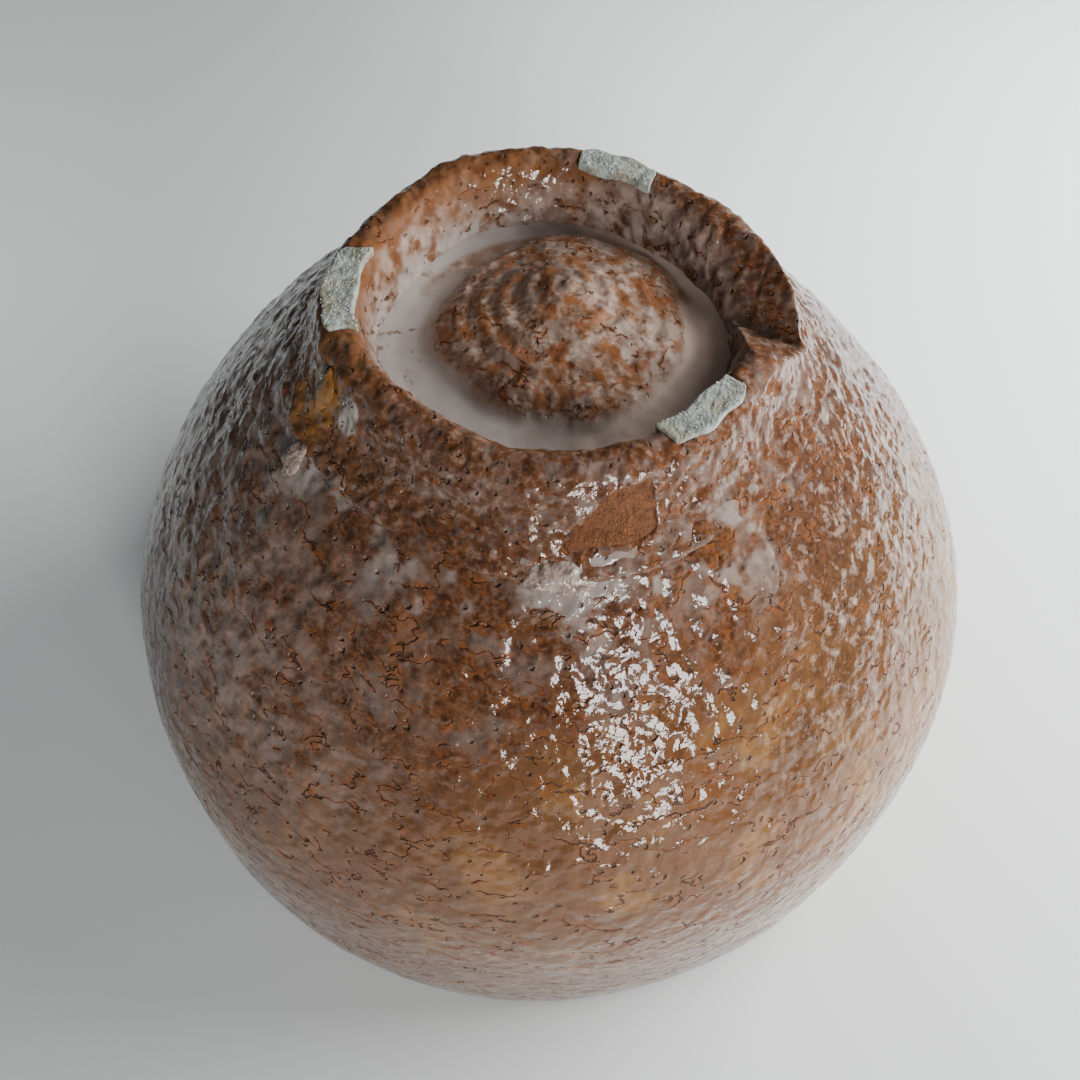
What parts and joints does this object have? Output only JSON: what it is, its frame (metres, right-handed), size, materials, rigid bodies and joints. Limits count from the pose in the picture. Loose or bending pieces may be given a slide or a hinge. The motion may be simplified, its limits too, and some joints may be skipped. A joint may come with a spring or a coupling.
{
  "type": "matcha bowl",
  "caption": "Hand-thrown stoneware tea bowl with a pebbly brown and peach glaze, stored mouth down, showing its cut foot ring with grey kiln marks and a milky glaze pool.",
  "frame": {"origin": "centre of the mouth rim's plane; the bowl lies mouth down on z = 0", "axes": "+Z from the mouth to the foot ring, which is up as stored; +X towards the side of the foot ring with the wedge cut; -Y towards the side with the bare clay patch. Turn it half a turn about X to drink from it"},
  "size_m": [0.126, 0.126, 0.09],
  "materials": {
    "clay": null,
    "outer_glaze": "glossy pebbled stoneware glaze, chocolate brown by the foot and peach towards the rim",
    "inner_glaze": "glossy peach stoneware glaze with fine crazing",
    "foot_glaze": "glossy red-brown stoneware glaze, beaded",
    "milky_glaze": "thick translucent grey-white glaze",
    "kiln_pad": "dry grey kiln-pad clay",
    "amber_glaze": "glossy amber ash glaze"
  },
  "bodies": {
    "root": {"clay_body": "clay", "foot_ring": "clay", "outer_glaze": "outer_glaze", "inner_glaze": "inner_glaze", "foot_glaze": "foot_glaze", "recess_glaze": "milky_glaze", "kiln_mark_left": "kiln_pad", "kiln_mark_back": "kiln_pad", "kiln_mark_right": "kiln_pad", "milky_bead_front": "milky_glaze", "milky_bead_left": "milky_glaze", "amber_run": "amber_glaze"}
  },
  "joints": []
}
